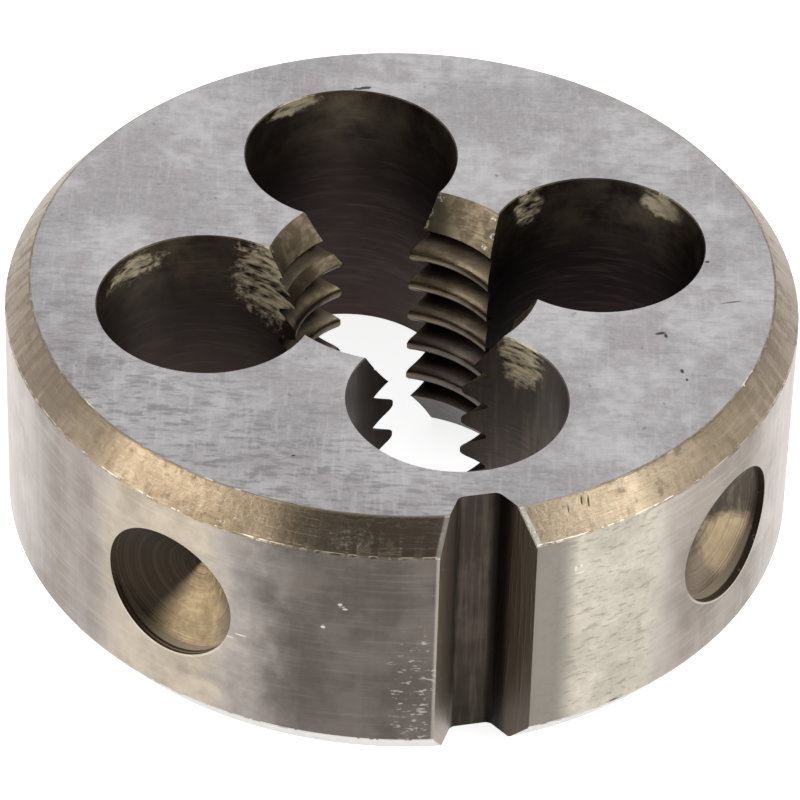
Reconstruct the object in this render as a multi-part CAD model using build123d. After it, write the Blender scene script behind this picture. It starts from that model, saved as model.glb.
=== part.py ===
from build123d import *
import math
import os

# Round threading die, M8 x 1.25, right-hand: one piece of hardened tool steel, 1 in across and 3/8 in
# thick. Millimetres, +Z up. The origin is the centre of the lower face, and +Z is the thread's axis.
# The adjusting slot faces -Y. Angles round the die are counter-clockwise seen from above.

# Turned blank
outside_diameter = 25.4
thickness = 9.525
rim_chamfer_width = 0.8
rim_chamfer_height = 1.0

# Thread: an internal ISO thread with a little clearance at its roots, and crests worn down by use
thread_pitch = 1.25
root_diameter = 8.08
crest_diameter = 6.8
flank_angle = 60.0
root_flat = 0.12
root_height = 0.135

# Lead-in cones, the same at both faces
lead_in_diameter = 8.9
lead_in_angle = 60.0

# Chip holes, drilled through round the thread, which leave the cutting lands between them
chip_hole_count = 4
chip_hole_diameter = 6.92
chip_hole_circle = 12.94
chip_hole_turn = 3.1

# Adjusting slot for the pointed spreading screw of the die stock. The web left between its floor and
# the chip hole behind it is what springs when the screw is turned.
slot_floor_width = 1.25
slot_web = 1.12
slot_angle = 60.0
slot_corner_radius = 0.25

# Detents for the stock's other screws, drilled a little out of line with the slot
detent_count = 4
detent_diameter = 4.65
detent_full_depth = 0.55
detent_point_angle = 118.0
detent_height = 5.0
detent_turn = -1.9

# Length by which a cutting tool runs past the surface it enters
overrun = 1.0

SLOT_DIRECTION = -90.0
outside_radius = outside_diameter / 2
crest_radius = crest_diameter / 2
root_radius = root_diameter / 2


def slope(full_angle):
    """Sideways run for each millimetre along the axis, on the side of a V or cone of this full angle."""
    return math.tan(math.radians(full_angle / 2))


def turned_blank():
    """Disc with both rims chamfered, bored to the thread's crests and coned at each end."""
    lead_in_radius = lead_in_diameter / 2
    lead_in_depth = (lead_in_radius - crest_radius) / slope(lead_in_angle)
    face_radius = outside_radius - rim_chamfer_width
    with BuildPart() as blank:
        with BuildSketch(Plane.XZ):
            with BuildLine():
                Polyline(
                    (lead_in_radius, 0),
                    (face_radius, 0),
                    (outside_radius, rim_chamfer_height),
                    (outside_radius, thickness - rim_chamfer_height),
                    (face_radius, thickness),
                    (lead_in_radius, thickness),
                    (crest_radius, thickness - lead_in_depth),
                    (crest_radius, lead_in_depth),
                    close=True,
                )
            make_face()
        revolve(axis=Axis.Z)
    return blank.part


def chip_holes():
    """The drilled holes that carry chips away and give each land its cutting edge."""
    first_hole = SLOT_DIRECTION + chip_hole_turn
    with BuildPart() as holes:
        with BuildSketch():
            with PolarLocations(chip_hole_circle / 2, chip_hole_count, first_hole):
                Circle(chip_hole_diameter / 2)
        extrude(amount=thickness)
    return holes.part


def adjusting_slot():
    """Flat-floored V milled down the side, which widens from its floor to the outside."""
    floor_distance = (chip_hole_circle + chip_hole_diameter) / 2 + slot_web
    mouth_distance = outside_radius + overrun
    floor_half_width = slot_floor_width / 2
    mouth_half_width = floor_half_width + (mouth_distance - floor_distance) * slope(slot_angle)
    with BuildPart() as slot:
        with BuildSketch():
            outline = Polygon(
                (floor_distance, -floor_half_width),
                (mouth_distance, -mouth_half_width),
                (mouth_distance, mouth_half_width),
                (floor_distance, floor_half_width),
                align=None,
            )
            fillet(outline.vertices().sort_by(Axis.X)[:2], slot_corner_radius)
        extrude(amount=thickness)
    return Rot(0, 0, SLOT_DIRECTION) * slot.part


def thread_grooves():
    """The helical spaces between the teeth: for each land, one for each turn of the thread.

    Each starts and ends on the axes of the two chip holes beside its land, clear of the metal.
    """
    land_step = 360 / chip_hole_count
    mouth_radius = crest_radius - root_flat
    mouth_half_width = root_flat / 2 + (root_radius - mouth_radius) * slope(flank_angle)
    with BuildPart() as groove:
        with BuildLine():
            path = Helix(pitch=thread_pitch, height=thread_pitch / chip_hole_count, radius=root_radius)
        with BuildSketch(Plane.XZ):
            Polygon(
                (mouth_radius, -mouth_half_width),
                (root_radius, -root_flat / 2),
                (root_radius, root_flat / 2),
                (mouth_radius, mouth_half_width),
                align=None,
            )
        sweep(path=path, is_frenet=True)
    grooves = []
    for land in range(chip_hole_count):
        turn = chip_hole_turn + land * land_step
        for lap in range(-2, math.ceil(thickness / thread_pitch) + 1):
            height = root_height + (lap + turn / 360) * thread_pitch
            grooves.append(Pos(0, 0, height) * Rot(0, 0, SLOT_DIRECTION + turn) * groove.part)
    return grooves


def detents():
    """Drill-pointed recesses in the side, evenly spaced, with the slot between the first and the last."""
    radius = detent_diameter / 2
    point_length = radius / slope(detent_point_angle)
    with BuildPart() as drill:
        with BuildSketch(Plane.XZ):
            with BuildLine():
                Polyline(
                    (0, -detent_full_depth - point_length),
                    (radius, -detent_full_depth),
                    (radius, overrun),
                    (0, overrun),
                    close=True,
                )
            make_face()
        revolve(axis=Axis.Z)
    detent_step = 360 / detent_count
    first_detent = SLOT_DIRECTION + detent_turn + detent_step / 2
    drilled = Pos(0, 0, detent_height) * Rot(0, 90, 0) * Pos(0, 0, outside_radius) * drill.part
    return [Rot(0, 0, first_detent + number * detent_step) * drilled for number in range(detent_count)]


def die_body():
    body = turned_blank() - chip_holes() - adjusting_slot()
    for cut in thread_grooves() + detents():
        body -= cut
    return body


os.makedirs("parts", exist_ok=True)
export_step(die_body(), "parts/die_body.step")
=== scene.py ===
import math

import bmesh
import bpy
from mathutils import Matrix, Vector, noise


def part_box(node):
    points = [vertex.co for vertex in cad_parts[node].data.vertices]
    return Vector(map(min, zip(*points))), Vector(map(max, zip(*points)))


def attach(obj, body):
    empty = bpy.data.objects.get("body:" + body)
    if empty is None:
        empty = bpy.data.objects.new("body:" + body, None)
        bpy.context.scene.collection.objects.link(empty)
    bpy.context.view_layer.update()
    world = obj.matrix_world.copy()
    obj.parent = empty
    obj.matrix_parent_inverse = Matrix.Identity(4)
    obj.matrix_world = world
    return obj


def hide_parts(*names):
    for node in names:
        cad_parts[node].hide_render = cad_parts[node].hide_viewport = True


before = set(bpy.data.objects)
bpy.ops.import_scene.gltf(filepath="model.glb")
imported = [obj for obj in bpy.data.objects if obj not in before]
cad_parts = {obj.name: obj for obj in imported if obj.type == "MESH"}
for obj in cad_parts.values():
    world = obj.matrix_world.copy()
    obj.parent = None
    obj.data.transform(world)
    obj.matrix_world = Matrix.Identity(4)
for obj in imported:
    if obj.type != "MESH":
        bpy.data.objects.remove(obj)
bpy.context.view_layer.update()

# ---------------------------------------------------------------- Turned blank
# The die is one piece of hardened tool steel. It starts as a disc turned from bar, chamfered at both
# rims, bored to the crests of the thread and coned at each end so that the work can enter.
mm = 0.001
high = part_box("die_body")[1]
outside_radius = high[0]
thickness = high[2]
chamfer_width = 0.8 * mm
chamfer_height = 1.0 * mm
crest_radius = 3.4 * mm
lead_in_radius = 4.45 * mm
lead_in_lean = math.radians(30)
lead_in_depth = (lead_in_radius - crest_radius) / math.tan(lead_in_lean)
face_radius = outside_radius - chamfer_width
blank_steps = 1080
rim_break = 0.05 * mm
weld_gap = 0.0001 * mm
same_place = 0.01 * mm


def turned(outline, steps, closed=False):
    """The solid turned from a half section, given as (radius, height) pairs; its axis is Z."""
    shape = bmesh.new()
    points = [shape.verts.new((radius, 0, height)) for radius, height in outline]
    for start, end in zip(points, points[1:]):
        shape.edges.new((start, end))
    if closed:
        shape.edges.new((points[-1], points[0]))
    bmesh.ops.spin(
        shape,
        geom=shape.verts[:] + shape.edges[:],
        cent=(0, 0, 0),
        axis=(0, 0, 1),
        angle=2 * math.pi,
        steps=steps,
        use_merge=True,
    )
    bmesh.ops.remove_doubles(shape, verts=shape.verts[:], dist=weld_gap)
    bmesh.ops.recalc_face_normals(shape, faces=shape.faces[:])
    return shape


def finished(shape, name):
    """The mesh object made from a bmesh, with its place in its mesh."""
    mesh = bpy.data.meshes.new(name)
    shape.to_mesh(mesh)
    shape.free()
    piece = bpy.data.objects.new(name, mesh)
    bpy.context.scene.collection.objects.link(piece)
    return piece


def ring_edges(shape, radius, height):
    """The edges of one turned circle."""
    on_ring = {
        point
        for point in shape.verts
        if abs(point.co.xy.length - radius) < same_place and abs(point.co.z - height) < same_place
    }
    return [edge for edge in shape.edges if edge.verts[0] in on_ring and edge.verts[1] in on_ring]


chamfer_edges = (
    (face_radius, 0),
    (outside_radius, chamfer_height),
    (outside_radius, thickness - chamfer_height),
    (face_radius, thickness),
)
blank = turned(
    [
        (lead_in_radius, 0),
        *chamfer_edges,
        (lead_in_radius, thickness),
        (crest_radius, thickness - lead_in_depth),
        (crest_radius, lead_in_depth),
    ],
    blank_steps,
    closed=True,
)
rims = []
for radius, height in chamfer_edges:
    rims += ring_edges(blank, radius, height)
bmesh.ops.bevel(
    blank,
    geom=rims,
    offset=rim_break,
    segments=2,
    profile=0.5,
    affect="EDGES",
    material=-1,
)

# The edges of the chamfers are ragged: the tool tore them, and they have been knocked since.
rag_depth = 0.05 * mm
rag_reach = 0.035 * mm
rags_a_millimetre = 2.4
for point in blank.verts:
    radius = point.co.xy.length
    for rim_radius, rim_height in chamfer_edges:
        if math.hypot(radius - rim_radius, point.co.z - rim_height) < rag_reach:
            torn = noise.fractal(point.co * rags_a_millimetre / mm, 1.0, 2.0, 4)
            inward = -abs(torn) * rag_depth
            point.co.xy *= (radius + inward) / radius
die = finished(blank, "die")

# ---------------------------------------------------------------- Chip holes
# Four holes drilled through round the thread carry the chips away, and their walls meet the lands at
# the cutting edges. Their mouths are broken lightly at both faces.
hole_count = 4
hole_radius = 3.46 * mm
hole_circle_radius = 6.47 * mm
hole_turn = math.radians(3.1)
hole_steps = 200
slot_direction = math.radians(-90)
mouth_break = 0.04 * mm
overrun = 0.5 * mm
tools = []
for number in range(hole_count):
    drill = turned(
        [
            (0, -overrun),
            (hole_radius + mouth_break + overrun, -overrun),
            (hole_radius, mouth_break),
            (hole_radius, thickness - mouth_break),
            (hole_radius + mouth_break + overrun, thickness + overrun),
            (0, thickness + overrun),
        ],
        hole_steps,
    )
    angle = slot_direction + hole_turn + number * 2 * math.pi / hole_count
    place = Matrix.Rotation(angle, 4, "Z") @ Matrix.Translation((hole_circle_radius, 0, 0))
    drill.transform(place)
    tools.append(finished(drill, f"chip_drill_{number}"))

# ---------------------------------------------------------------- Adjusting slot
# A V with a flat floor is milled down the side, through both faces, and leaves a thin web to the front
# chip hole. The point of the stock's middle screw seats here.
slot_half_width = 1.525 * mm
slot_web = 1.12 * mm
slot_slope = math.tan(math.radians(30))
slot_corner_break = 0.15 * mm
floor_distance = hole_circle_radius + hole_radius + slot_web
edge_distance = math.sqrt(outside_radius**2 - slot_half_width**2)
mouth_distance = outside_radius + overrun
floor_half_width = slot_half_width - (edge_distance - floor_distance) * slot_slope
mouth_half_width = slot_half_width + (mouth_distance - edge_distance) * slot_slope
milling = bmesh.new()
section = [
    milling.verts.new((x, -y, -overrun))
    for x, y in (
        (-floor_half_width, floor_distance),
        (floor_half_width, floor_distance),
        (mouth_half_width, mouth_distance),
        (-mouth_half_width, mouth_distance),
    )
]
milling.faces.new(section)
corners = [point for point in milling.verts if abs(abs(point.co.x) - floor_half_width) < same_place]
bmesh.ops.bevel(
    milling,
    geom=corners,
    offset=slot_corner_break,
    segments=8,
    profile=0.5,
    affect="VERTICES",
    material=-1,
)
column = bmesh.ops.extrude_face_region(milling, geom=milling.faces[:])
raised = [part for part in column["geom"] if isinstance(part, bmesh.types.BMVert)]
bmesh.ops.translate(milling, verts=raised, vec=(0, 0, thickness + 2 * overrun))
bmesh.ops.recalc_face_normals(milling, faces=milling.faces[:])
tools.append(finished(milling, "slot_cutter"))

# ---------------------------------------------------------------- Thread
# The M8 x 1.25 right-hand thread is tapped through the bore and stays on the four lands between the
# chip holes. Its roots have small flats, and its crests are rounded by use.
thread_pitch = 1.25 * mm
root_radius = 4.04 * mm
root_half_flat = 0.06 * mm
root_height = 0.135 * mm
flank_end_radius = 3.60 * mm
thread_turns = 10
steps_a_turn = 144
flank_slope = math.tan(math.radians(30))
tap = bmesh.new()
crest_round = ((3.52, 0.368), (3.46, 0.424), (3.42, 0.487), (3.395, 0.56), (3.28, 0.56))
flank = [
    (root_radius, root_half_flat),
    (flank_end_radius, root_half_flat + (root_radius - flank_end_radius) * flank_slope),
    *((radius * mm, half * mm) for radius, half in crest_round),
]
first_height = root_height - thread_pitch
groove = [tap.verts.new((0, -radius, first_height - half)) for radius, half in reversed(flank)]
groove += [tap.verts.new((0, -radius, first_height + half)) for radius, half in flank]
for start, end in zip(groove, groove[1:] + groove[:1]):
    tap.edges.new((start, end))
bmesh.ops.spin(
    tap,
    geom=tap.verts[:] + tap.edges[:],
    cent=(0, 0, 0),
    axis=(0, 0, 1),
    dvec=(0, 0, thread_pitch / steps_a_turn),
    angle=2 * math.pi,
    steps=steps_a_turn,
    use_merge=False,
)
one_turn = tap.verts[:] + tap.edges[:] + tap.faces[:]
for turn in range(1, thread_turns):
    copy = bmesh.ops.duplicate(tap, geom=one_turn)
    moved_points = [part for part in copy["geom"] if isinstance(part, bmesh.types.BMVert)]
    bmesh.ops.translate(tap, verts=moved_points, vec=(0, 0, turn * thread_pitch))
bmesh.ops.remove_doubles(tap, verts=tap.verts[:], dist=weld_gap)
bmesh.ops.holes_fill(tap, edges=[edge for edge in tap.edges if edge.is_boundary])
bmesh.ops.recalc_face_normals(tap, faces=tap.faces[:])
tools.append(finished(tap, "tap"))

# ---------------------------------------------------------------- Screw detents
# Four shallow recesses take the points of the stock's other screws. Each is drilled into the side with
# a 118 degree drill, whose cone is its floor.
detent_count = 4
detent_radius = 2.325 * mm
detent_full_depth = 0.55 * mm
detent_height = 5.0 * mm
detent_turn = math.radians(-1.9)
detent_steps = 160
detent_point_angle = math.radians(118)
detent_point = detent_radius / math.tan(detent_point_angle / 2)
for number in range(detent_count):
    drill = turned(
        [
            (0, -detent_full_depth - detent_point),
            (detent_radius, -detent_full_depth),
            (detent_radius, overrun),
            (0, overrun),
        ],
        detent_steps,
    )
    angle = slot_direction + detent_turn + math.pi / 4 + number * 2 * math.pi / detent_count
    place = (
        Matrix.Rotation(angle, 4, "Z")
        @ Matrix.Translation((outside_radius, 0, detent_height))
        @ Matrix.Rotation(math.pi / 2, 4, "Y")
    )
    drill.transform(place)
    tools.append(finished(drill, f"detent_drill_{number}"))

# ---------------------------------------------------------------- Finishes
# Each surface shows the tool that made it: ground faces, straw-tempered chamfers, a turned side, dark
# drilled walls and bronzed threads. The patterns are read in millimetres on the die itself. Several
# finishes also carry painted highlights, painted reflections and painted shade, laid out by place on the
# die.


def feed(tree, value, socket):
    """A socket given a value or another node's output."""
    if isinstance(value, bpy.types.NodeSocket):
        tree.links.new(value, socket)
    else:
        socket.default_value = value


def add(tree, kind, inputs=None, **settings):
    """A shader node with its settings and its inputs."""
    made = tree.nodes.new("ShaderNode" + kind)
    for name, value in settings.items():
        setattr(made, name, value)
    for name, value in (inputs or {}).items():
        feed(tree, value, made.inputs[name])
    return made


def math_of(tree, operation, first, second=0.0):
    """The result of one sum on two values."""
    return add(tree, "Math", {0: first, 1: second}, operation=operation).outputs[0]


def between(tree, value, low_end, high_end):
    """A value spread smoothly from 0 at one end to 1 at the other."""
    ends = {"Value": value, "From Min": low_end, "From Max": high_end}
    return add(tree, "MapRange", ends, interpolation_type="SMOOTHSTEP").outputs["Result"]


def blend(tree, amount, first, second):
    """The first colour, turned to the second by an amount from 0 to 1."""
    made = add(tree, "Mix", data_type="RGBA")
    for number, value in ((0, amount), (6, first), (7, second)):
        feed(tree, value, made.inputs[number])
    return made.outputs[2]


def group(name, inputs, outputs):
    """A shader node group with its named inputs and outputs, still empty inside."""
    made = bpy.data.node_groups.new(name, "ShaderNodeTree")
    for label, kind, value in inputs:
        socket = made.interface.new_socket(label, in_out="INPUT", socket_type="NodeSocket" + kind)
        if value is not None:
            socket.default_value = value
    for label, kind in outputs:
        made.interface.new_socket(label, in_out="OUTPUT", socket_type="NodeSocket" + kind)
    return made, made.nodes.new("NodeGroupInput"), made.nodes.new("NodeGroupOutput")


# Streaks: a noise drawn out along one direction, for scratches and tool lines. Stretch is the number
# of lines to the millimetre along each axis, and Cut is how rare they are.
streaks, given, put = group(
    "streaks",
    [
        ("Place", "Vector", None),
        ("Turn", "Float", 0.0),
        ("Stretch", "Vector", (1.0, 1.0, 1.0)),
        ("Cut", "Float", 0.6),
        ("Soft", "Float", 0.1),
    ],
    [("Mask", "Float")],
)
turned_place = add(
    streaks,
    "VectorRotate",
    {"Vector": given.outputs["Place"], "Angle": given.outputs["Turn"]},
    rotation_type="Z_AXIS",
)
drawn = add(
    streaks,
    "VectorMath",
    {0: turned_place.outputs[0], 1: given.outputs["Stretch"]},
    operation="MULTIPLY",
)
lines = add(
    streaks,
    "TexNoise",
    {"Vector": drawn.outputs[0], "Scale": 1.0, "Detail": 3.0, "Roughness": 0.6, "Distortion": 0.15},
)
top_end = math_of(streaks, "ADD", given.outputs["Cut"], given.outputs["Soft"])
streaks.links.new(between(streaks, lines.outputs["Fac"], given.outputs["Cut"], top_end), put.inputs["Mask"])

# Clouds: soft patches of film, heat colour and handling marks.
clouds, given, put = group(
    "clouds",
    [("Place", "Vector", None), ("Size", "Float", 1.0), ("Low", "Float", 0.4), ("High", "Float", 0.6)],
    [("Mask", "Float")],
)
scale = math_of(clouds, "DIVIDE", 1.0, given.outputs["Size"])
puffs = add(
    clouds,
    "TexNoise",
    {"Vector": given.outputs["Place"], "Scale": scale, "Detail": 7.0, "Roughness": 0.62},
)
clouds.links.new(
    between(clouds, puffs.outputs["Fac"], given.outputs["Low"], given.outputs["High"]), put.inputs["Mask"]
)

# Specks: small separate pits or bright flecks, each in its own cell, most cells being empty.
specks, given, put = group(
    "specks",
    [("Place", "Vector", None), ("Size", "Float", 1.0), ("Share", "Float", 0.2), ("Radius", "Float", 0.2)],
    [("Mask", "Float")],
)
warp = add(specks, "TexNoise", {"Vector": given.outputs["Place"], "Scale": 5.0, "Detail": 2.0})
shaken = add(specks, "VectorMath", {0: warp.outputs["Color"], "Scale": 0.25}, operation="SCALE")
moved = add(specks, "VectorMath", {0: given.outputs["Place"], 1: shaken.outputs[0]}, operation="ADD")
cell_scale = math_of(specks, "DIVIDE", 1.0, given.outputs["Size"])
cells = add(specks, "TexVoronoi", {"Vector": moved.outputs[0], "Scale": cell_scale})
near = between(specks, cells.outputs["Distance"], given.outputs["Radius"], 0.0)
chosen = add(specks, "SeparateColor", {"Color": cells.outputs["Color"]})
kept = math_of(specks, "LESS_THAN", chosen.outputs[0], given.outputs["Share"])
specks.links.new(math_of(specks, "MULTIPLY", near, kept), put.inputs["Mask"])


def finish_of(name):
    """A new steel finish: its node tree, its shader, and the place on the die in millimetres."""
    made = bpy.data.materials.new(name)
    made.use_nodes = True
    tree = made.node_tree
    metal = tree.nodes["Principled BSDF"]
    metal.inputs["Metallic"].default_value = 1.0
    coordinates = tree.nodes.new("ShaderNodeTexCoord")
    spot = add(tree, "VectorMath", {0: coordinates.outputs["Object"], "Scale": 1 / mm}, operation="SCALE")
    return made, tree, metal, spot.outputs[0]


def use(tree, shared, **inputs):
    """A shared group placed in a finish; it returns the mask."""
    made = tree.nodes.new("ShaderNodeGroup")
    made.node_tree = shared
    for name, value in inputs.items():
        feed(tree, value, made.inputs[name])
    return made.outputs["Mask"]


def relief(tree, metal, height, strength, depth):
    """Bump from a height, with its depth in metres."""
    made = add(tree, "Bump", {"Height": height, "Strength": strength, "Distance": depth})
    tree.links.new(made.outputs[0], metal.inputs["Normal"])


# Mark: one ragged spot at a place on the die, for a nick, a smear or a rubbed patch.
mark, given, put = group(
    "mark",
    [
        ("Place", "Vector", None),
        ("Centre", "Vector", (0.0, 0.0, 0.0)),
        ("Reach", "Vector", (1.0, 1.0, 1.0)),
        ("Rag", "Float", 0.3),
    ],
    [("Mask", "Float")],
)
off = add(mark, "VectorMath", {0: given.outputs["Place"], 1: given.outputs["Centre"]}, operation="SUBTRACT")
scaled = add(mark, "VectorMath", {0: off.outputs[0], 1: given.outputs["Reach"]}, operation="DIVIDE")
far = add(mark, "VectorMath", {0: scaled.outputs[0]}, operation="LENGTH")
uneven = add(
    mark,
    "TexNoise",
    {"Vector": given.outputs["Place"], "Scale": 3.5, "Detail": 5.0, "Roughness": 0.7},
)
pushed = math_of(mark, "MULTIPLY", math_of(mark, "SUBTRACT", uneven.outputs["Fac"], 0.5), 4.0)
ragged = math_of(mark, "ADD", far.outputs["Value"], math_of(mark, "MULTIPLY", pushed, given.outputs["Rag"]))
mark.links.new(between(mark, ragged, 1.0, 0.55), put.inputs["Mask"])

# Where: the angle round the die from the slot in degrees, the distance from the axis, the height, the
# place in the nearest detent, along the side and out from its axis, and the way from the slot's wall.
# All lengths are in millimetres, as are those in the finishes below.
detent_step = 360 / detent_count
detent_level = detent_height / mm
detent_rim = detent_radius / mm
slot_point = (edge_distance - slot_half_width / slot_slope) / mm
where, given, put = group(
    "where",
    [("Place", "Vector", None)],
    [
        ("Turn", "Float"),
        ("Radius", "Float"),
        ("Height", "Float"),
        ("Along", "Float"),
        ("Out", "Float"),
        ("From Slot", "Float"),
    ],
)
parts = add(where, "SeparateXYZ", {0: given.outputs["Place"]})
front = math_of(where, "MULTIPLY", parts.outputs["Y"], -1.0)
turn = math_of(where, "DEGREES", math_of(where, "ARCTAN2", parts.outputs["X"], front))
level_place = add(
    where,
    "VectorMath",
    {0: given.outputs["Place"], 1: (1.0, 1.0, 0.0)},
    operation="MULTIPLY",
)
radius_here = add(where, "VectorMath", {0: level_place.outputs[0]}, operation="LENGTH").outputs["Value"]
from_first = math_of(where, "SUBTRACT", turn, math.degrees(detent_turn))
from_detent = math_of(where, "FLOORED_MODULO", from_first, detent_step)
detent_turns = math_of(where, "RADIANS", math_of(where, "SUBTRACT", from_detent, detent_step / 2))
along = math_of(where, "MULTIPLY", math_of(where, "SINE", detent_turns), radius_here)
up = math_of(where, "SUBTRACT", parts.outputs["Z"], detent_level)
square = math_of(where, "ADD", math_of(where, "MULTIPLY", along, along), math_of(where, "MULTIPLY", up, up))
where.links.new(turn, put.inputs["Turn"])
where.links.new(radius_here, put.inputs["Radius"])
where.links.new(parts.outputs["Z"], put.inputs["Height"])
where.links.new(along, put.inputs["Along"])
where.links.new(math_of(where, "SQRT", square), put.inputs["Out"])
sideways = math_of(where, "ABSOLUTE", parts.outputs["X"])
slot_wall = math_of(where, "MULTIPLY", math_of(where, "SUBTRACT", front, slot_point), slot_slope)
where.links.new(math_of(where, "SUBTRACT", sideways, slot_wall), put.inputs["From Slot"])


def place_of(tree, spot):
    """The outputs of the group that tells where on the die a spot is."""
    made = tree.nodes.new("ShaderNodeGroup")
    made.node_tree = where
    tree.links.new(spot, made.inputs["Place"])
    return made.outputs


def band(tree, value, start, end, soft):
    """1 between two values and 0 outside them, with soft ends."""
    rise = between(tree, value, start - soft, start + soft)
    fall = between(tree, value, end + soft, end - soft)
    return math_of(tree, "MULTIPLY", rise, fall)


def part_of(tree, mask, share):
    """A mask made weaker."""
    return math_of(tree, "MULTIPLY", mask, share)


def tinted(tree, colour, mask, share, tint):
    """A colour with a share of a tint laid over it where a mask says."""
    return blend(tree, part_of(tree, mask, share), colour, tint)


def all_marks(tree, spot, places):
    """The union of several marks, each given by its centre, its reach and its raggedness."""
    together = 0.0
    for centre, reach, rag in places:
        one = use(tree, mark, Place=spot, Centre=centre, Reach=reach, Rag=rag)
        together = math_of(tree, "MAXIMUM", one, together)
    return together


# Ground faces: pale lilac grey with clouds of film, faint scratches, a fine mottle and a few dark nicks.
ground, tree, metal, spot = finish_of("ground_steel")
film = use(tree, clouds, Place=spot, Size=3.4, Low=0.38, High=0.62)
pink = use(tree, clouds, Place=spot, Size=1.7, Low=0.50, High=0.60)
mottle = use(tree, clouds, Place=spot, Size=0.42, Low=0.36, High=0.66)
grain = use(tree, clouds, Place=spot, Size=0.12, Low=0.36, High=0.66)
rubbed_and_sheen = use(tree, streaks, Place=spot, Turn=0.25, Stretch=(1.1, 7.0, 1.0), Cut=0.56, Soft=0.12)
crossed = use(tree, streaks, Place=spot, Turn=-1.34, Stretch=(0.8, 6.0, 1.0), Cut=0.50, Soft=0.2)
pins = use(tree, specks, Place=spot, Size=0.42, Share=0.09, Radius=0.20)
knocks = all_marks(
    tree,
    spot,
    [
        ((7.36, -4.46, 9.5), (0.20, 0.09, 1), 0.30),
        ((7.50, -4.60, 9.5), (0.07, 0.13, 1), 0.25),
        ((7.57, -6.40, 9.5), (0.07, 0.13, 1), 0.30),
        ((7.62, -6.85, 9.5), (0.06, 0.10, 1), 0.30),
        ((9.95, -3.34, 9.5), (0.42, 0.035, 1), 0.20),
        ((0.80, 9.93, 9.5), (0.45, 0.09, 1), 0.45),
        ((9.72, -1.19, 9.5), (0.10, 0.07, 1), 0.35),
        ((11.80, -2.6, 9.5), (0.07, 0.60, 1), 0.6),
        ((-5.2, -8.2, 9.5), (0.10, 0.05, 1), 0.3),
    ],
)
towards_left = add(tree, "VectorMath", {0: spot, 1: (-0.707, -0.707, 0.0)}, operation="DOT_PRODUCT")
dulled = between(tree, towards_left.outputs["Value"], 4.5, 10.5)
colour = blend(tree, film, (0.705, 0.672, 0.672, 1), (0.484, 0.460, 0.461, 1))
colour = tinted(tree, colour, pink, 0.65, (0.540, 0.478, 0.488, 1))
colour = tinted(tree, colour, mottle, 0.42, (0.440, 0.424, 0.432, 1))
colour = tinted(tree, colour, grain, 0.24, (0.76, 0.74, 0.75, 1))
colour = tinted(tree, colour, dulled, 0.26, (0.335, 0.312, 0.312, 1))
smeared = use(tree, streaks, Place=spot, Turn=0.25, Stretch=(1.6, 5.5, 1.0), Cut=0.47, Soft=0.16)
smeared = math_of(tree, "MULTIPLY", smeared, math_of(tree, "ADD", dulled, 0.25))
colour = tinted(tree, colour, smeared, 0.60, (0.31, 0.285, 0.29, 1))
colour = tinted(tree, colour, rubbed_and_sheen, 0.30, (0.34, 0.315, 0.32, 1))
colour = tinted(tree, colour, crossed, 0.25, (0.78, 0.765, 0.775, 1))
colour = tinted(tree, colour, pins, 0.65, (0.16, 0.14, 0.14, 1))
colour = tinted(tree, colour, knocks, 0.9, (0.055, 0.045, 0.045, 1))
tree.links.new(colour, metal.inputs["Base Color"])
rough = math_of(tree, "ADD", part_of(tree, film, 0.10), 0.40)
tree.links.new(rough, metal.inputs["Roughness"])
height = math_of(tree, "SUBTRACT", part_of(tree, crossed, 0.3), part_of(tree, rubbed_and_sheen, 0.6))
height = math_of(tree, "SUBTRACT", height, math_of(tree, "ADD", pins, knocks))
relief(tree, metal, height, 0.25, 0.01 * mm)

# Chamfers: straw heat colour over turning lines, painted gold highlights where the softboxes are mirrored
# left and right of the slot, painted glints on the scoring there, a dark olive film with painted shade
# beside the slot, and pale grey underneath.
straw, tree, metal, spot = finish_of("straw_chamfer")
at = place_of(tree, spot)
heat = use(tree, clouds, Place=spot, Size=2.2, Low=0.40, High=0.62)
grime = use(tree, clouds, Place=spot, Size=0.55, Low=0.53, High=0.68)
turning = use(tree, streaks, Place=spot, Turn=0.0, Stretch=(0.5, 0.5, 13.0), Cut=0.46, Soft=0.2)
scored = use(tree, streaks, Place=spot, Turn=0.0, Stretch=(1.6, 1.6, 9.0), Cut=0.63, Soft=0.06)
nicks = use(tree, specks, Place=spot, Size=0.32, Share=0.14, Radius=0.24)
# Left of the slot: a dark olive film with painted shade laid over it.
olive_and_shade = band(tree, at["Turn"], -26.0, -5.0, 3.5)
# Painted highlights: lit_left and lit_right mark where the softboxes are mirrored in the chamfer, and the
# gold laid there stands in for their light.
lit_left = math_of(
    tree,
    "MULTIPLY",
    between(tree, at["Turn"], -63.5, -54.5),
    between(tree, at["Turn"], -27.5, -33.0),
)
lit_right = band(tree, at["Turn"], 5.0, 24.5, 2.5)
grey_ends = math_of(
    tree,
    "MAXIMUM",
    between(tree, at["Turn"], -62.0, -74.0),
    between(tree, at["Turn"], 44.0, 62.0),
)
flecked = all_marks(tree, spot, [((-4.1, -11.7, 8.95), (0.95, 0.8, 0.45), 0.6)])
cracks = all_marks(
    tree,
    spot,
    [
        ((3.08, -11.5, 9.33), (0.035, 1.0, 0.14), 0.30),
        ((3.30, -11.6, 9.25), (0.04, 1.0, 0.16), 0.30),
        ((2.62, -11.8, 9.22), (0.03, 1.0, 0.12), 0.30),
    ],
)
colour = blend(tree, heat, (0.355, 0.280, 0.195, 1), (0.270, 0.210, 0.142, 1))
colour = tinted(tree, colour, grey_ends, 0.8, (0.260, 0.205, 0.156, 1))
crinkled = use(tree, clouds, Place=spot, Size=0.30, Low=0.40, High=0.62)
lit_gold = blend(tree, heat, (0.490, 0.360, 0.230, 1), (0.325, 0.235, 0.145, 1))
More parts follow.
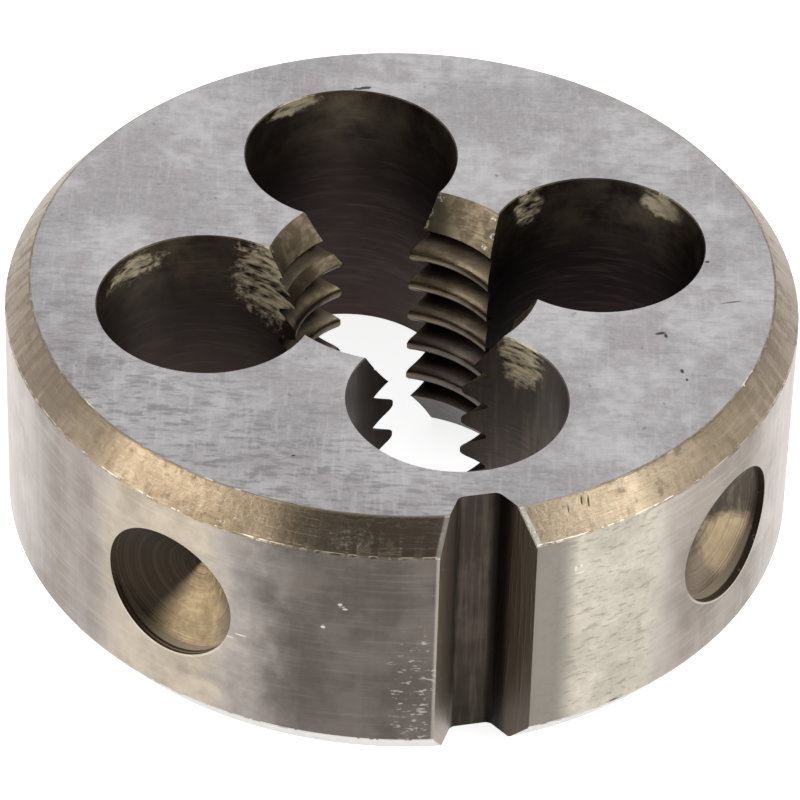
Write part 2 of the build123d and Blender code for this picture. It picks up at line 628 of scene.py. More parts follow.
lit_gold = tinted(tree, lit_gold, crinkled, 0.55, (0.62, 0.485, 0.33, 1))
lit_pale_gold = blend(tree, heat, (0.580, 0.455, 0.312, 1), (0.420, 0.322, 0.212, 1))
lit_pale_gold = tinted(tree, lit_pale_gold, crinkled, 0.50, (0.66, 0.54, 0.39, 1))
colour = blend(tree, lit_left, colour, lit_gold)
# A narrow band at the inner end of the left highlight is painted brighter gold still.
lit_late_band = band(tree, at["Turn"], -36.0, -30.0, 3.0)
colour = tinted(tree, colour, lit_late_band, 0.55, (0.72, 0.55, 0.37, 1))
colour = blend(tree, lit_right, colour, lit_pale_gold)
turning_seen = math_of(tree, "SUBTRACT", 0.13, part_of(tree, grey_ends, 0.09))
colour = blend(tree, math_of(tree, "MULTIPLY", turning, turning_seen), colour, (0.62, 0.53, 0.39, 1))
colour = tinted(tree, colour, grime, 0.45, (0.20, 0.158, 0.10, 1))
colour = tinted(tree, colour, olive_and_shade, 0.88, (0.185, 0.150, 0.112, 1))
lit = math_of(tree, "MAXIMUM", lit_left, lit_right)
# Painted glints: the scoring turns bright mostly where the chamfer is lit.
glints = math_of(tree, "MULTIPLY", scored, math_of(tree, "ADD", part_of(tree, lit, 0.42), 0.03))
colour = blend(tree, glints, colour, (0.80, 0.71, 0.55, 1))
colour = tinted(tree, colour, nicks, 0.40, (0.17, 0.13, 0.08, 1))
pale_flecks = math_of(
    tree,
    "MULTIPLY",
    flecked,
    use(tree, clouds, Place=spot, Size=0.13, Low=0.50, High=0.60),
)
colour = tinted(tree, colour, pale_flecks, 0.55, (0.48, 0.44, 0.37, 1))
colour = tinted(tree, colour, cracks, 0.85, (0.05, 0.035, 0.02, 1))
beside_slot = math_of(
    tree,
    "MULTIPLY",
    between(tree, at["From Slot"], 0.20, 0.10),
    between(tree, at["Radius"], 11.0, 11.5),
)
colour = tinted(tree, colour, beside_slot, 0.85, (0.88, 0.84, 0.76, 1))
underneath = between(tree, at["Height"], 3.0, 1.2)
colour = blend(tree, underneath, colour, (0.60, 0.58, 0.56, 1))
tree.links.new(colour, metal.inputs["Base Color"])
rough = math_of(tree, "ADD", part_of(tree, grime, 0.15), 0.36)
tree.links.new(rough, metal.inputs["Roughness"])
turned = math_of(tree, "MULTIPLY", turning, math_of(tree, "SUBTRACT", 1.0, part_of(tree, grey_ends, 0.7)))
height = math_of(tree, "SUBTRACT", turned, math_of(tree, "ADD", part_of(tree, nicks, 1.2), cracks))
relief(tree, metal, math_of(tree, "ADD", height, part_of(tree, crinkled, 0.8)), 0.35, 0.014 * mm)

# Torn edges: the bright metal left along the lower edge of the upper chamfer, broken by dark gaps. It is
# laid only along the two stretches where the chamfer is lit, so it is partly a painted highlight; left of
# the slot the edge carries the olive film with painted shade.
bright, tree, metal, spot = finish_of("torn_edge")
at = place_of(tree, spot)
gaps = use(tree, clouds, Place=spot, Size=0.7, Low=0.47, High=0.56)
lower_edge = band(tree, at["Height"], 8.2, 9.0, 0.2)
# The burr is kept to the lit stretches left and right of the slot: a painted highlight on real torn metal.
left_lit_burr = band(tree, at["Turn"], -68.0, -31.0, 3.0)
right_lit_burr = band(tree, at["Turn"], 6.0, 30.0, 3.0)
burr_and_highlight = math_of(tree, "MULTIPLY", lower_edge, math_of(tree, "MAXIMUM", left_lit_burr, right_lit_burr))
upper_nicks = all_marks(
    tree,
    spot,
    [
        ((-8.0, -9.0, 9.45), (0.35, 0.35, 0.3), 0.3),
        ((-7.3, -9.55, 9.45), (0.25, 0.25, 0.3), 0.3),
        ((-11.0, -4.75, 9.45), (0.2, 0.5, 0.3), 0.3),
        ((9.6, -7.2, 9.45), (0.6, 0.8, 0.3), 0.5),
    ],
)
burr_and_highlight = math_of(tree, "MAXIMUM", burr_and_highlight, upper_nicks)
worn = blend(tree, gaps, (0.44, 0.40, 0.35, 1), (0.30, 0.26, 0.21, 1))
# The same olive film with painted shade on the torn edge left of the slot.
olive_and_shade = band(tree, at["Turn"], -29.0, -5.0, 4.0)
worn = tinted(tree, worn, olive_and_shade, 0.7, (0.20, 0.17, 0.13, 1))
torn_metal_and_highlight = blend(tree, gaps, (0.92, 0.87, 0.77, 1), (0.34, 0.27, 0.17, 1))
colour = blend(tree, burr_and_highlight, worn, torn_metal_and_highlight)
underneath = between(tree, at["Height"], 3.0, 1.5)
colour = blend(tree, underneath, colour, (0.62, 0.60, 0.57, 1))
tree.links.new(colour, metal.inputs["Base Color"])
metal.inputs["Roughness"].default_value = 0.34

# Turned side: satin steel with fine level lines and level pits, with painted reflections in upright bands
# round it: bright where the softboxes are mirrored left and right of the slot, duller beyond them, paler on
# the far flanks, and painted shade in front, mostly left of the slot.
side, tree, metal, spot = finish_of("turned_side")
at = place_of(tree, spot)
film = use(tree, clouds, Place=spot, Size=2.4, Low=0.38, High=0.64)
level = use(tree, streaks, Place=spot, Turn=0.0, Stretch=(0.35, 0.35, 9.0), Cut=0.50, Soft=0.16)
pits = use(tree, streaks, Place=spot, Turn=0.0, Stretch=(2.4, 2.4, 8.0), Cut=0.56, Soft=0.06)
few_pits = use(tree, streaks, Place=spot, Turn=0.0, Stretch=(1.6, 1.6, 7.0), Cut=0.62, Soft=0.08)
flecks = use(tree, specks, Place=spot, Size=0.34, Share=0.22, Radius=0.26)
wander = use(tree, clouds, Place=spot, Size=1.6, Low=0.30, High=0.70)
turn_here = math_of(tree, "ADD", at["Turn"], part_of(tree, wander, 5.0))
# Painted shade: the front of the side, mostly left of the slot, is made dark, with a middle tone just right
# of the slot.
painted_shade_zone = math_of(
    tree,
    "MULTIPLY",
    between(tree, turn_here, -40.0, -23.5),
    between(tree, at["Turn"], 14.0, 8.0),
)
mid_shade_band = band(tree, at["Turn"], 5.5, 11.5, 2.5)
# Painted reflections of the two softboxes as bright bands, with painted duller bands beyond them.
left_softbox_sheen = band(tree, turn_here, -56.0, -36.0, 3.5)
right_softbox_sheen = band(tree, at["Turn"], 11.0, 27.5, 3.0)
right_shaded_band = band(tree, at["Turn"], 30.0, 53.0, 6.0)
left_shaded_band = band(tree, at["Turn"], -78.0, -58.0, 5.0)
pitted = band(tree, at["Turn"], 8.5, 27.0, 3.5)
satin_with_reflections = blend(tree, film, (0.480, 0.433, 0.400, 1), (0.400, 0.358, 0.325, 1))
# The far flanks are painted paler.
satin_with_reflections = tinted(tree, satin_with_reflections, between(tree, at["Turn"], -80.0, -90.0), 0.9, (0.520, 0.472, 0.443, 1))
satin_with_reflections = tinted(tree, satin_with_reflections, between(tree, at["Turn"], 56.0, 66.0), 0.9, (0.486, 0.428, 0.392, 1))
satin_with_reflections = blend(tree, left_shaded_band, satin_with_reflections, blend(tree, film, (0.320, 0.280, 0.252, 1), (0.265, 0.228, 0.203, 1)))
satin_with_reflections = blend(
    tree,
    right_shaded_band,
    satin_with_reflections,
    blend(tree, film, (0.318, 0.274, 0.236, 1), (0.240, 0.205, 0.174, 1)),
)
satin_with_reflections = blend(
    tree,
    left_softbox_sheen,
    satin_with_reflections,
    blend(tree, wander, (0.545, 0.468, 0.372, 1), (0.370, 0.315, 0.248, 1)),
)
satin_with_reflections = blend(
    tree,
    right_softbox_sheen,
    satin_with_reflections,
    blend(tree, wander, (0.590, 0.540, 0.455, 1), (0.425, 0.385, 0.318, 1)),
)
satin_with_reflections = tinted(tree, satin_with_reflections, level, 0.15, (0.62, 0.58, 0.51, 1))
shaded_satin = blend(tree, film, (0.138, 0.117, 0.103, 1), (0.098, 0.083, 0.073, 1))
shaded_satin = tinted(tree, shaded_satin, level, 0.18, (0.22, 0.195, 0.17, 1))
colour = blend(tree, painted_shade_zone, satin_with_reflections, shaded_satin)
colour = blend(tree, mid_shade_band, colour, (0.235, 0.212, 0.182, 1))
some_pits = math_of(tree, "MAXIMUM", part_of(tree, few_pits, 0.30), math_of(tree, "MULTIPLY", pits, pitted))
colour = tinted(tree, colour, some_pits, 0.42, (0.20, 0.17, 0.14, 1))
fleck_zone = all_marks(
    tree,
    spot,
    [
        ((-2.1, -12.4, 3.0), (1.0, 1.5, 2.9), 0.4),
        ((-4.4, -11.9, 6.46), (0.12, 0.5, 0.12), 0.1),
        ((-4.93, -11.7, 5.5), (0.12, 0.5, 0.12), 0.1),
    ],
)
dashes = use(tree, streaks, Place=spot, Turn=0.9, Stretch=(2.6, 2.6, 8.0), Cut=0.58, Soft=0.06)
pale = math_of(tree, "MULTIPLY", math_of(tree, "MAXIMUM", flecks, dashes), fleck_zone)
lone = all_marks(
    tree,
    spot,
    [
        ((-4.45, -11.9, 6.50), (0.08, 0.6, 0.06), 0.35),
        ((-4.30, -11.9, 6.33), (0.10, 0.6, 0.04), 0.35),
        ((-4.93, -11.7, 5.5), (0.07, 0.6, 0.06), 0.35),
        ((2.83, -12.36, 7.22), (0.06, 0.6, 0.15), 0.40),
        ((3.00, -12.36, 7.00), (0.15, 0.6, 0.05), 0.40),
        ((3.02, -12.36, 7.28), (0.04, 0.6, 0.10), 0.40),
        ((-7.25, -10.4, 4.42), (0.22, 0.4, 0.035), 0.12),
        ((-7.60, -10.2, 4.22), (0.22, 0.4, 0.035), 0.12),
    ],
)
pale = math_of(tree, "MAXIMUM", part_of(tree, pale, 0.34), part_of(tree, lone, 0.60))
colour = blend(tree, pale, colour, (0.80, 0.76, 0.69, 1))
smudges = all_marks(tree, spot, [((-8.8, -9.15, 2.1), (0.40, 0.40, 0.17), 0.7)])
colour = tinted(tree, colour, smudges, 0.4, (0.26, 0.23, 0.20, 1))
chip = use(tree, mark, Place=spot, Centre=(4.36, -11.92, 1.00), Reach=(0.36, 0.6, 0.15), Rag=0.6)
colour = tinted(tree, colour, chip, 0.9, (0.030, 0.026, 0.024, 1))
speckle = use(tree, clouds, Place=spot, Size=0.22, Low=0.42, High=0.62)
colour = blend(
    tree,
    math_of(tree, "MULTIPLY", part_of(tree, speckle, 0.22), pitted),
    colour,
    (0.30, 0.28, 0.235, 1),
)
lip = band(tree, at["Out"], detent_rim + 0.015, detent_rim + 0.075, 0.02)
lip = math_of(tree, "MULTIPLY", lip, between(tree, at["Height"], 4.2, 3.2))
colour = tinted(tree, colour, lip, 0.5, (0.72, 0.66, 0.56, 1))
slot_side = math_of(
    tree,
    "MULTIPLY",
    between(tree, at["From Slot"], 0.14, 0.05),
    between(tree, at["Turn"], 2.0, -2.0),
)
slot_side = math_of(tree, "MULTIPLY", slot_side, between(tree, at["Turn"], -12.0, -10.0))
colour = tinted(tree, colour, slot_side, 0.50, (0.50, 0.46, 0.40, 1))
tree.links.new(colour, metal.inputs["Base Color"])
rough = math_of(tree, "ADD", part_of(tree, film, 0.08), 0.38)
tree.links.new(rough, metal.inputs["Roughness"])
height = math_of(tree, "SUBTRACT", part_of(tree, level, 0.4), some_pits)
relief(tree, metal, height, 0.25, 0.012 * mm)

# Drilled walls: brown-black scale with soft rings, kept near black as painted shade inside the holes and
# painted lighter or darker hole by hole, an olive film with painted light near the mouths of the far walls,
# and gold patches that are painted reflections and glints, partly rubbed metal.
drilled, tree, metal, spot = finish_of("drilled_wall")
at = place_of(tree, spot)
across = add(tree, "SeparateXYZ", {0: spot})
scale_mask = use(tree, clouds, Place=spot, Size=1.3, Low=0.40, High=0.66)
rings = use(tree, streaks, Place=spot, Turn=0.0, Stretch=(0.6, 0.6, 5.0), Cut=0.46, Soft=0.26)
front_hole = between(tree, across.outputs["Y"], -2.6, -4.2)
left_hole = between(tree, across.outputs["X"], -2.6, -4.2)
back_hole = between(tree, across.outputs["Y"], 2.6, 4.2)
# Near black: dark scale with painted shade inside the holes. Each hole is then painted lighter or darker:
# the front one lightest, the left and back ones a little lighter, the right one darker.
colour = blend(tree, scale_mask, (0.024, 0.016, 0.016, 1), (0.040, 0.028, 0.026, 1))
colour = tinted(tree, colour, back_hole, 0.6, (0.054, 0.038, 0.036, 1))
colour = tinted(tree, colour, left_hole, 0.6, (0.076, 0.058, 0.050, 1))
right_hole = between(tree, across.outputs["X"], 2.6, 4.2)
colour = tinted(tree, colour, right_hole, 0.6, (0.015, 0.008, 0.010, 1))
colour = tinted(tree, colour, front_hole, 0.85, (0.165, 0.138, 0.120, 1))
brushed = use(tree, streaks, Place=spot, Turn=0.0, Stretch=(3.0, 3.0, 0.4), Cut=0.42, Soft=0.3)
brushed = math_of(tree, "MULTIPLY", brushed, front_hole)
colour = tinted(tree, colour, brushed, 0.3, (0.42, 0.345, 0.265, 1))
colour = tinted(tree, colour, rings, 0.22, (0.12, 0.098, 0.078, 1))
# Olive film with painted light: the far walls are lighter near the mouths.
olive_film = use(tree, clouds, Place=spot, Size=1.5, Low=0.30, High=0.72)
far_walls = between(tree, across.outputs["Y"], -1.0, 1.0)
mouth_film_and_light = math_of(tree, "MULTIPLY", between(tree, at["Height"], 6.2, 9.4), far_walls)
mouth_film_and_light = math_of(tree, "MULTIPLY", mouth_film_and_light, olive_film)
colour = tinted(tree, colour, mouth_film_and_light, 0.85, (0.23, 0.19, 0.125, 1))
# Gold patches on walls and rims: painted reflections and glints, partly rubbed metal; there the metal is
# made partly satin as well.
rubbed_and_sheen = all_marks(
    tree,
    spot,
    [
        ((-4.0, 2.0, 8.2), (1.5, 1.2, 1.9), 0.40),
        ((2.95, -4.2, 8.9), (0.9, 1.0, 1.3), 0.40),
        ((4.9, 3.4, 8.9), (0.7, 0.7, 0.8), 0.40),
        ((9.1, 2.6, 9.05), (0.70, 0.9, 0.55), 0.35),
        ((-1.7, 9.6, 9.25), (1.2, 0.9, 0.35), 0.40),
        ((-8.2, 2.4, 8.9), (1.5, 1.3, 0.55), 0.45),
    ],
)
chatter = use(tree, streaks, Place=spot, Turn=0.0, Stretch=(1.5, 1.5, 5.5), Cut=0.32, Soft=0.30)
lit_gold = blend(tree, chatter, (0.060, 0.045, 0.032, 1), (0.95, 0.80, 0.55, 1))
colour = blend(tree, part_of(tree, rubbed_and_sheen, 0.95), colour, lit_gold)
# Painted glints on the rims of the right and back holes.
glow = all_marks(
    tree,
    spot,
    [
        ((9.25, 2.3, 9.05), (0.6, 1.1, 0.5), 0.25),
        ((-1.6, 9.65, 9.3), (1.2, 0.8, 0.3), 0.25),
    ],
)
colour = tinted(tree, colour, glow, 0.65, (0.80, 0.68, 0.47, 1))
tree.links.new(colour, metal.inputs["Base Color"])
satin_share = math_of(tree, "MULTIPLY", rubbed_and_sheen, chatter)
tree.links.new(math_of(tree, "SUBTRACT", 1.0, part_of(tree, satin_share, 0.9)), metal.inputs["Metallic"])
metal.inputs["Roughness"].default_value = 0.46
height = math_of(tree, "ADD", part_of(tree, rings, 0.3), satin_share)
relief(tree, metal, height, 0.4, 0.02 * mm)

# Threads and their lead-in: bronze on the upper crests, greyer lower down, and painted nearly black in the
# grooves and under the flanks as painted shade, with small bright burrs at the lead-in's edges that are
# partly painted glints.
bronze, tree, metal, spot = finish_of("bronze_thread")
at = place_of(tree, spot)
facing = add(tree, "SeparateXYZ", {0: tree.nodes["Texture Coordinate"].outputs["Normal"]})
upper_flank = between(tree, facing.outputs["Z"], 0.62, 0.80)
under_flank = between(tree, facing.outputs["Z"], -0.15, -0.55)
lead_in = band(tree, facing.outputs["Z"], 0.46, 0.56, 0.03)
groove_depth = between(tree, at["Radius"], crest_radius / mm + 0.04, root_radius / mm - 0.18)
patches = use(tree, clouds, Place=spot, Size=0.9, Low=0.42, High=0.6)
swirls = use(tree, clouds, Place=spot, Size=0.55, Low=0.44, High=0.60)
cutting_lines = use(tree, streaks, Place=spot, Turn=0.0, Stretch=(1.5, 1.5, 9.0), Cut=0.5, Soft=0.16)
colour = blend(tree, patches, (0.235, 0.185, 0.120, 1), (0.135, 0.104, 0.065, 1))
colour = tinted(tree, colour, cutting_lines, 0.30, (0.33, 0.27, 0.18, 1))
lower_teeth = between(tree, at["Height"], 6.2, 3.8)
colour = tinted(tree, colour, lower_teeth, 0.6, (0.085, 0.067, 0.080, 1))
# Painted shade: surfaces deep in the grooves turn nearly black.
groove_shade = math_of(tree, "MAXIMUM", upper_flank, between(tree, facing.outputs["Z"], 0.40, 0.20))
groove_shade = math_of(tree, "MULTIPLY", groove_shade, groove_depth)
colour = tinted(tree, colour, groove_shade, 0.83, (0.042, 0.031, 0.024, 1))
# Painted shade under the flanks.
colour = tinted(tree, colour, under_flank, 0.88, (0.030, 0.023, 0.018, 1))
colour = tinted(tree, colour, lead_in, 0.72, (0.165, 0.125, 0.082, 1))
colour = blend(
    tree,
    math_of(tree, "MULTIPLY", lead_in, part_of(tree, swirls, 0.50)),
    colour,
    (0.44, 0.35, 0.225, 1),
)
across = add(tree, "SeparateXYZ", {0: spot})
back_land = math_of(tree, "MULTIPLY", lead_in, between(tree, across.outputs["Y"], 2.0, 2.2))
dull_end = math_of(tree, "MULTIPLY", back_land, between(tree, across.outputs["X"], 2.5, 1.9))
dull_end = math_of(tree, "MULTIPLY", dull_end, between(tree, across.outputs["X"], 0.0, 1.0))
colour = tinted(tree, colour, dull_end, 0.75, (0.085, 0.068, 0.048, 1))
# Small bright burrs at the lead-in's edges, broken up; partly painted glints.
burrs_and_glints = all_marks(
    tree,
    spot,
    [
        ((1.55, 3.57, 8.56), (0.13, 0.13, 0.20), 0.40),
        ((1.73, 3.70, 8.95), (0.11, 0.11, 0.30), 0.40),
        ((2.10, 3.86, 9.36), (0.16, 0.13, 0.28), 0.40),
        ((3.57, 2.51, 9.36), (0.18, 0.13, 0.16), 0.40),
        ((3.46, 2.16, 8.84), (0.13, 0.13, 0.26), 0.40),
        ((3.20, 2.15, 8.47), (0.20, 0.13, 0.10), 0.40),
        ((-3.85, 2.10, 9.25), (0.09, 0.12, 0.30), 0.40),
    ],
)
crumbs = use(tree, clouds, Place=spot, Size=0.09, Low=0.46, High=0.58)
burrs_and_glints = math_of(tree, "MULTIPLY", burrs_and_glints, crumbs)
colour = tinted(tree, colour, burrs_and_glints, 0.75, (0.82, 0.74, 0.60, 1))
tree.links.new(colour, metal.inputs["Base Color"])
metal.inputs["Roughness"].default_value = 0.36
relief(
    tree,
    metal,
    math_of(tree, "ADD", part_of(tree, cutting_lines, 0.6), part_of(tree, swirls, 0.12)),
    0.3,
    0.015 * mm,
)

# Slot: dark brown with upright streaks, set apart by painted light and shade: the floor kept dark, the left
# wall painted tan as if lit and dusty along its outer edge, the right wall a little lighter than the floor,
# and the right corner painted nearly black as shade.
milled, tree, metal, spot = finish_of("milled_slot")
at = place_of(tree, spot)
across = add(tree, "SeparateXYZ", {0: spot})
upright = use(tree, streaks, Place=spot, Turn=0.0, Stretch=(6.0, 6.0, 0.35), Cut=0.44, Soft=0.22)
film = use(tree, clouds, Place=spot, Size=1.2, Low=0.42, High=0.64)
dust = use(tree, specks, Place=spot, Size=0.30, Share=0.34, Radius=0.32)
left_wall = between(tree, across.outputs["X"], -0.56, -0.80)
right_wall = between(tree, across.outputs["X"], 0.80, 1.00)
corner_shade = band(tree, across.outputs["X"], 0.46, 0.94, 0.12)
low_end = between(tree, at["Height"], 4.5, 0.5)
# Painted light and shade: the floor is kept dark and the walls lighter, the left wall most.
floor_colour = blend(tree, film, (0.042, 0.032, 0.026, 1), (0.060, 0.047, 0.038, 1))
colour = tinted(tree, floor_colour, low_end, 0.5, (0.022, 0.017, 0.013, 1))
colour = tinted(tree, colour, left_wall, 0.90, (0.385, 0.315, 0.240, 1))
colour = tinted(tree, colour, right_wall, 0.85, (0.100, 0.079, 0.059, 1))
colour = tinted(tree, colour, upright, 0.22, (0.15, 0.125, 0.10, 1))
# Painted shade in the right corner.
colour = tinted(tree, colour, corner_shade, 0.96, (0.008, 0.006, 0.005, 1))
outer = between(tree, at["Radius"], 11.9, 12.2)
dust = math_of(tree, "MULTIPLY", math_of(tree, "MULTIPLY", dust, outer), left_wall)
colour = tinted(tree, colour, dust, 0.8, (0.70, 0.65, 0.58, 1))
foot = math_of(tree, "MULTIPLY", left_wall, between(tree, at["Height"], 2.2, 0.8))
colour = tinted(tree, colour, foot, 0.75, (0.42, 0.37, 0.33, 1))
chamfer_lean = chamfer_width / chamfer_height
chamfer_sum = (outside_radius + (thickness - chamfer_height) * chamfer_lean) / mm
sum_here = math_of(tree, "ADD", at["Radius"], part_of(tree, at["Height"], chamfer_lean))
chamfer_lip = between(tree, sum_here, chamfer_sum - 0.14, chamfer_sum - 0.06)
lips = math_of(tree, "MULTIPLY", chamfer_lip, between(tree, at["Height"], 8.3, 8.5))
colour = tinted(tree, colour, lips, 0.8, (0.85, 0.80, 0.72, 1))
tree.links.new(colour, metal.inputs["Base Color"])
metal.inputs["Roughness"].default_value = 0.45
relief(tree, metal, upright, 0.35, 0.02 * mm)

# Detents: drill rings and grain, with light and shade painted on each cone: gold on the lower right as if
# lit, brown-black painted shade on the rest, walls painted light where the cone is lit, and dark lines
# along the walls' outer edge.
dimple, tree, metal, spot = finish_of("drilled_detent")
at = place_of(tree, spot)
heat = use(tree, clouds, Place=spot, Size=1.3, Low=0.42, High=0.60)
ring_place = add(tree, "CombineXYZ", {"X": at["Out"], "Y": 0.0, "Z": 0.0}).outputs[0]
rings = use(tree, streaks, Place=ring_place, Turn=0.0, Stretch=(6.5, 1.0, 1.0), Cut=0.42, Soft=0.22)
scored = use(tree, streaks, Place=spot, Turn=0.0, Stretch=(4.0, 4.0, 0.8), Cut=0.50, Soft=0.16)
above = math_of(tree, "SUBTRACT", at["Height"], detent_level)
# Painted light: each cone is gold on its lower right as if lit there, and the rest is painted shade.
leaning = math_of(tree, "SUBTRACT", part_of(tree, at["Along"], 0.90), part_of(tree, above, 0.44))
leaning = math_of(tree, "DIVIDE", leaning, math_of(tree, "ADD", at["Out"], 0.05))
left_lit_side = between(tree, leaning, -0.15, 0.45)
own_spot = add(tree, "CombineXYZ", {"X": at["Along"], "Y": 0.0, "Z": above}).outputs[0]
right_lit_patch = use(tree, mark, Place=own_spot, Centre=(1.20, 0, -1.55), Reach=(1.35, 1, 1.25), Rag=0.16)
right_one = between(tree, at["Turn"], -5.0, 5.0)
left_one = math_of(tree, "SUBTRACT", 1.0, right_one)
hammered = use(tree, clouds, Place=spot, Size=0.34, Low=0.40, High=0.60)
# Painted shade: the colours of the cones' unlit parts; the right cone is painted lighter lower down.
left_shaded = blend(tree, part_of(tree, rings, 0.5), (0.030, 0.022, 0.015, 1), (0.052, 0.040, 0.029, 1))
right_shaded = blend(tree, part_of(tree, scored, 0.5), (0.078, 0.063, 0.048, 1), (0.19, 0.156, 0.122, 1))
lit_low_right = between(tree, above, -0.6, -1.6)
right_shaded = blend(tree, lit_low_right, right_shaded, (0.245, 0.192, 0.145, 1))
lit_gold = blend(tree, heat, (0.50, 0.372, 0.212, 1), (0.37, 0.268, 0.150, 1))
lit_gold = tinted(tree, lit_gold, hammered, 0.50, (0.24, 0.180, 0.110, 1))
lit_gold = tinted(tree, lit_gold, rings, 0.25, (0.22, 0.165, 0.105, 1))
left_rim = math_of(tree, "MULTIPLY", between(tree, at["Along"], 1.0, 1.9), left_one)
lit_gold = tinted(tree, lit_gold, left_rim, 0.75, (0.22, 0.180, 0.130, 1))
lit_gold = tinted(tree, lit_gold, right_one, 0.5, (0.43, 0.335, 0.225, 1))
left_colour = blend(tree, left_lit_side, left_shaded, lit_gold)
right_colour = blend(tree, right_lit_patch, right_shaded, lit_gold)
colour = blend(tree, right_one, left_colour, right_colour)
# The walls are painted lit, matching the cone beside them, and made less metallic.
wall = between(tree, at["Out"], detent_rim - 0.009, detent_rim - 0.002)
lit_wall_left = blend(tree, left_lit_side, (0.19, 0.145, 0.105, 1), (0.80, 0.66, 0.47, 1))
lit_wall_right = blend(tree, lit_low_right, (0.17, 0.143, 0.120, 1), (0.62, 0.52, 0.39, 1))
lit_wall_colour = blend(tree, right_one, lit_wall_left, lit_wall_right)
colour = blend(tree, part_of(tree, wall, 0.95), colour, lit_wall_colour)
from_rim = math_of(tree, "SUBTRACT", outside_radius / mm, at["Radius"])
between_lines = part_of(tree, band(tree, from_rim, 0.09, 0.14, 0.02), 0.6)
between_lines = math_of(tree, "MULTIPLY", between_lines, left_one)
rim_line = math_of(tree, "SUBTRACT", between(tree, from_rim, 0.27, 0.21), between_lines)
line_here = math_of(tree, "MAXIMUM", right_one, between(tree, above, -0.4, -1.2))
rim_line = math_of(tree, "MULTIPLY", math_of(tree, "MULTIPLY", wall, line_here), rim_line)
colour = tinted(tree, colour, rim_line, 0.92, (0.045, 0.026, 0.016, 1))
film_share = math_of(tree, "SUBTRACT", 1.0, part_of(tree, wall, 0.85))
tree.links.new(film_share, metal.inputs["Metallic"])
chips = use(tree, specks, Place=spot, Size=0.20, Share=0.16, Radius=0.30)
chips = math_of(tree, "MULTIPLY", chips, math_of(tree, "MULTIPLY", wall, right_one))
colour = tinted(tree, colour, chips, 0.7, (0.75, 0.68, 0.58, 1))
tree.links.new(colour, metal.inputs["Base Color"])
metal.inputs["Roughness"].default_value = 0.36
metal.inputs["Specular IOR Level"].default_value = 0.25
relief(tree, metal, math_of(tree, "SUBTRACT", part_of(tree, scored, 0.4), rings), 0.25, 0.02 * mm)

# ---------------------------------------------------------------- Cutting
# The tools are taken out of the blank one after another. The finish that a tool leaves comes with it,
# and the blank's own faces get theirs by where they are and how they lean.
finishes = [ground, straw, bright, side, bronze]
for finish in finishes:
    die.data.materials.append(finish)
sliver_area = (rim_break * 0.9) * (2 * math.pi * outside_radius / blank_steps)
level_lean = 0.97
upright_lean = 0.3
for face in die.data.polygons:
    lean = abs(face.normal.z)
    if lean > level_lean:
        own_finish = ground
    elif face.center.xy.length < lead_in_radius:
        own_finish = bronze
    elif face.area < sliver_area:
        own_finish = bright
    elif lean > upright_lean:
        own_finish = straw
    else:
        own_finish = side
    face.material_index = finishes.index(own_finish)
left_by = {"chip": drilled, "slot": milled, "tap": bronze, "detent": dimple}
for tool in tools:
    tool.data.materials.append(left_by[tool.name.split("_")[0]])
for tool in tools:
    cutting = die.modifiers.new(tool.name, "BOOLEAN")
    cutting.operation = "DIFFERENCE"
    cutting.solver = "MANIFOLD"
    cutting.material_mode = "TRANSFER"
    cutting.object = tool
bpy.context.view_layer.update()
seen = die.evaluated_get(bpy.context.evaluated_depsgraph_get())
cut_mesh = bpy.data.meshes.new_from_object(seen)
die.modifiers.clear()
die.data = cut_mesh
for tool in tools:
    bpy.data.objects.remove(tool)
sharp_angle = math.radians(20)
shape = bmesh.new()
shape.from_mesh(cut_mesh)
for face in shape.faces:
    face.smooth = True
for edge in shape.edges:
    edge.smooth = edge.is_manifold and edge.calc_face_angle() < sharp_angle
shape.to_mesh(cut_mesh)
shape.free()
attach(die, "root")
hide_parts("die_body")

# ---------------------------------------------------------------- Floor
# The floor is white paper. Seen directly or mirrored in the metal it also glows, so that it stays white
# where the lamps are weak, but it sheds no more light on the die than paper does.
bpy.ops.mesh.primitive_plane_add(size=2)
floor = bpy.context.object
floor.name = "floor"
white = bpy.data.materials.new("white_floor")
white.use_nodes = True
tree = white.node_tree
paper = tree.nodes["Principled BSDF"]
paper.inputs["Base Color"].default_value = (0.8, 0.8, 0.8, 1)
paper.inputs["Roughness"].default_value = 0.9
paper.inputs["Specular IOR Level"].default_value = 0.1
paper.inputs["Emission Color"].default_value = (1, 1, 1, 1)
rays = add(tree, "LightPath")
in_sight = math_of(tree, "MAXIMUM", rays.outputs["Is Camera Ray"], rays.outputs["Is Glossy Ray"])
in_sight = math_of(tree, "MAXIMUM", in_sight, rays.outputs["Is Transmission Ray"])
white_lift = 0.85
tree.links.new(part_of(tree, in_sight, white_lift), paper.inputs["Emission Strength"])
floor.data.materials.append(white)

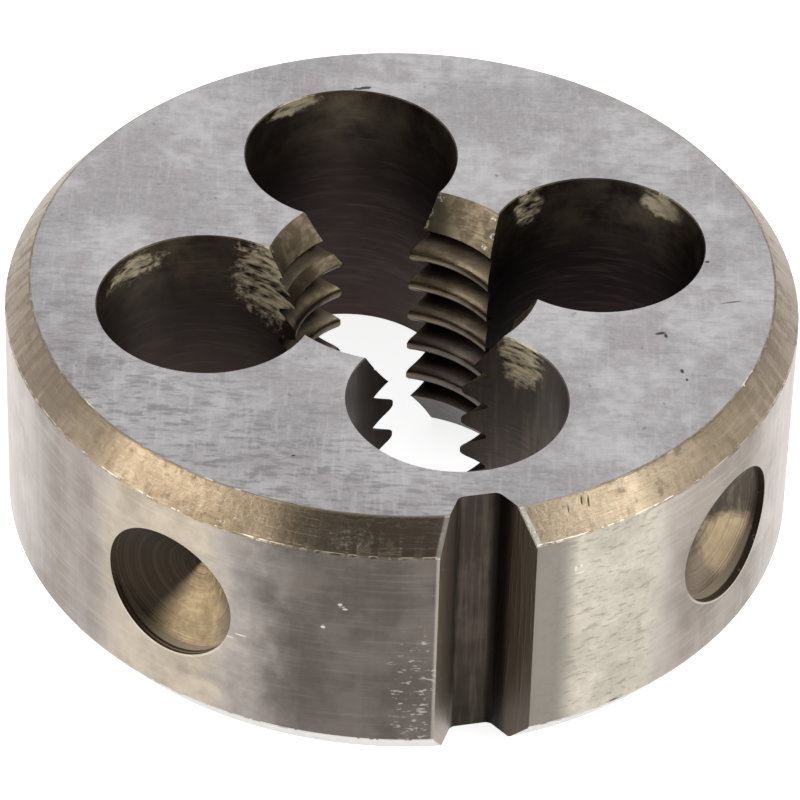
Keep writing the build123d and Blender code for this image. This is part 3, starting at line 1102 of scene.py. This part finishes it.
# ---------------------------------------------------------------- Light
# A softbox stands to the left of the die and another to its right. The white room round them is darker
# high in front, so that the level faces turned that way don't glare.
world = bpy.data.worlds.new("studio")
bpy.context.scene.world = world
world.use_nodes = True
tree = world.node_tree
sky = tree.nodes["Background"]
direction = tree.nodes.new("ShaderNodeTexCoord")
front_direction = (-0.175, -0.75, 0.637)
towards = add(
    tree,
    "VectorMath",
    {0: direction.outputs["Generated"], 1: front_direction},
    operation="DOT_PRODUCT",
)
dim = between(tree, towards.outputs["Value"], 0.62, 0.95)
tree.links.new(blend(tree, dim, (0.78, 0.79, 0.80, 1), (0.14, 0.13, 0.12, 1)), sky.inputs["Color"])
sky.inputs["Strength"].default_value = 1.0
softbox_size = (0.12, 0.16)
softbox_radiance = 1.8


def softbox(name, place):
    """A rectangular lamp at a place, turned to the die."""
    lamp = bpy.data.lights.new(name, "AREA")
    lamp.shape = "RECTANGLE"
    lamp.size, lamp.size_y = softbox_size
    lamp.energy = softbox_radiance * math.pi * softbox_size[0] * softbox_size[1]
    holder = bpy.data.objects.new(name, lamp)
    bpy.context.scene.collection.objects.link(holder)
    holder.location = place
    holder.rotation_euler = (Vector((0, 0, 0)) - Vector(place)).to_track_quat("-Z", "Y").to_euler()


softbox("left_softbox", (-0.24, -0.03, 0.15))
softbox("right_softbox", (0.20, -0.13, 0.15))

# ---------------------------------------------------------------- Camera
# A long lens looks down at the die from in front and a little from the left, with the slot towards it
# and a slight roll.
camera_place = Vector((-0.033582, -0.143733, 0.126313))
camera_target = Vector((-0.000362, -0.001666, 0.005691))
camera_roll = math.radians(1.6926)
focal_length = 265.352
lens = bpy.data.cameras.new("camera")
lens.lens = focal_length
lens.sensor_width = 36
lens.clip_start = 0.01
camera = bpy.data.objects.new("camera", lens)
bpy.context.scene.collection.objects.link(camera)
camera.location = camera_place
aim = (camera_target - camera_place).to_track_quat("-Z", "Y").to_matrix()
camera.rotation_euler = (aim @ Matrix.Rotation(camera_roll, 3, "Z")).to_euler()
bpy.context.scene.camera = camera
bpy.context.scene.view_settings.view_transform = "Standard"
